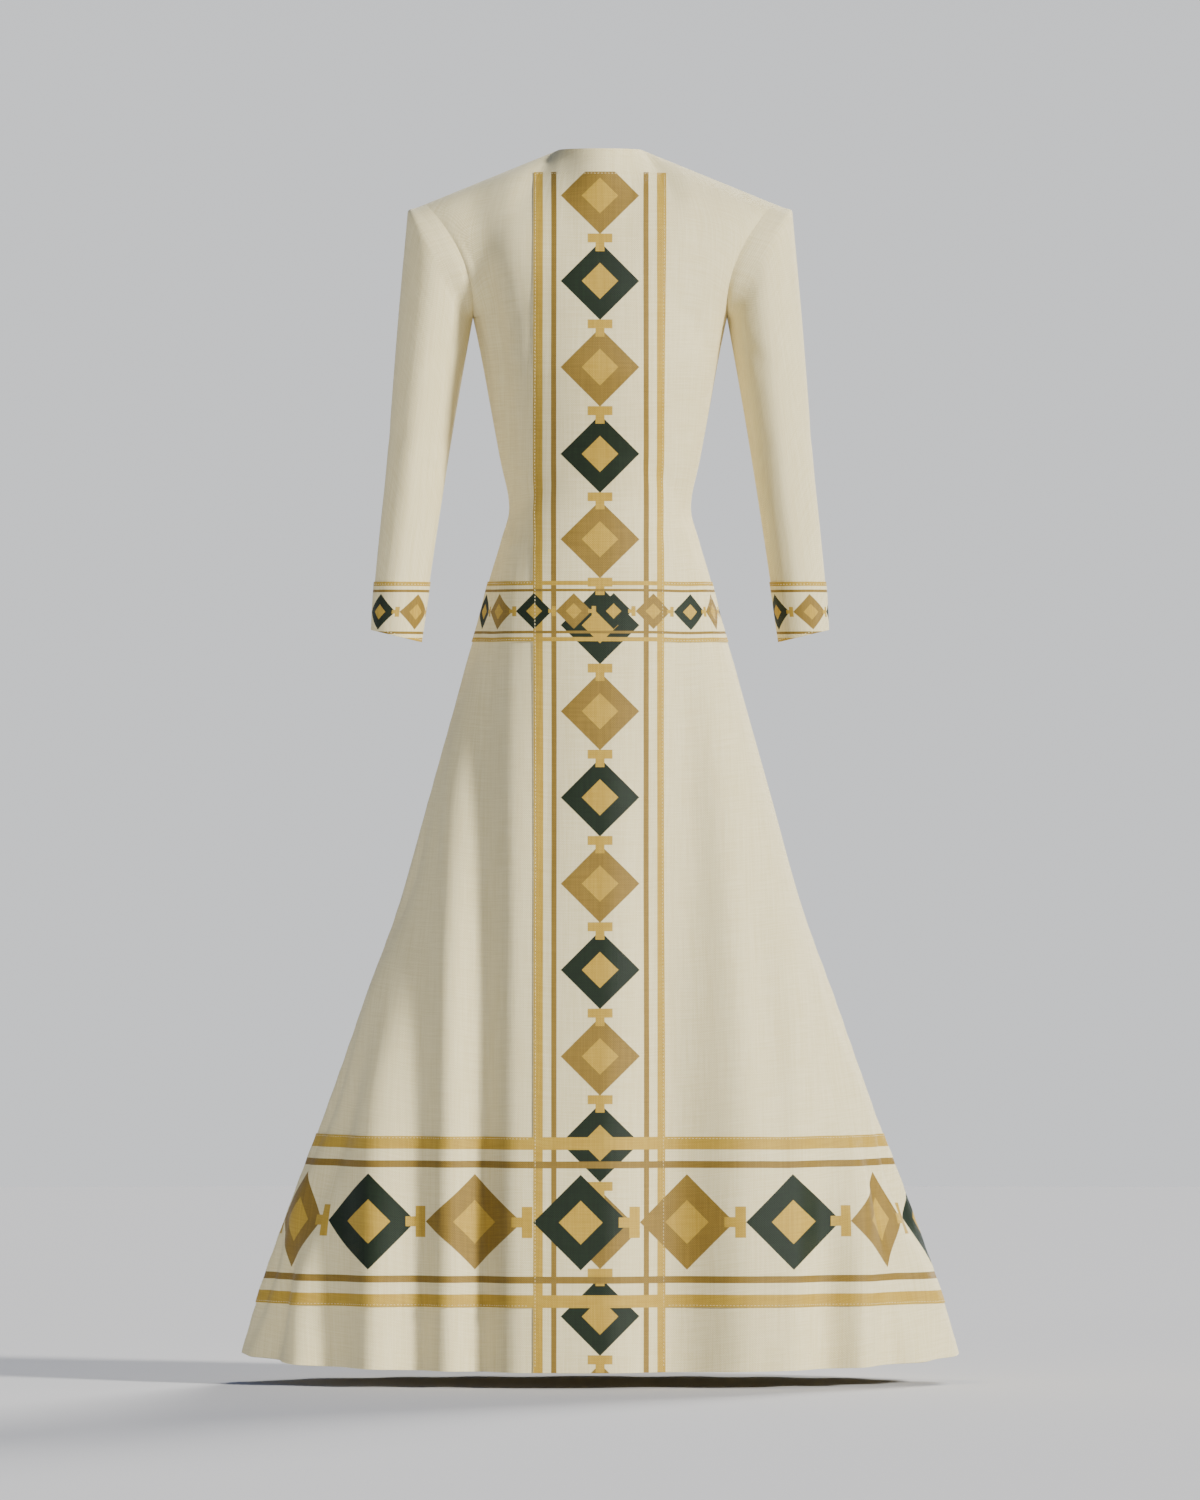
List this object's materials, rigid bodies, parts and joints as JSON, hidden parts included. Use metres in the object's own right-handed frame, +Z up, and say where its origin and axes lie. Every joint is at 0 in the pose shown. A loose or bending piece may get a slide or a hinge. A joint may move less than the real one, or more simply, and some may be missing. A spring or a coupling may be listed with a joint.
{
  "type": "habesha kemis dress",
  "caption": "Long A-line cotton dress, hollow as worn, with slim sleeves, a level neck and woven bands down the front and round the hips, hem and cuffs.",
  "frame": {"origin": "middle of the neck ring, level with the inner ends of the shoulder seams, where the wearer's shoulders carry the dress", "axes": "+Z up along the dress, -Y towards the front, +X towards the wearer's left"},
  "size_m": [0.8258, 0.4517, 1.3991],
  "materials": {
    "cotton": "matt off-white handwoven cotton, plain weave with slubs",
    "tibeb": "off-white cotton band with gold and dark green inlaid weft, low sheen",
    "button": "small pale moulded button"
  },
  "bodies": {
    "root": {"front_panel": "cotton", "back_left": "cotton", "back_right": "cotton", "sleeve_left": "cotton", "sleeve_right": "cotton", "centre_front_band": "tibeb", "hip_band_front_left": "tibeb", "hip_band_front_right": "tibeb", "hip_band_back_left": "tibeb", "hip_band_back_right": "tibeb", "hem_band_front_left": "tibeb", "hem_band_front_right": "tibeb", "hem_band_back_left": "tibeb", "hem_band_back_right": "tibeb", "cuff_band_left": "tibeb", "cuff_band_right": "tibeb", "neck_button": "button"}
  },
  "joints": []
}
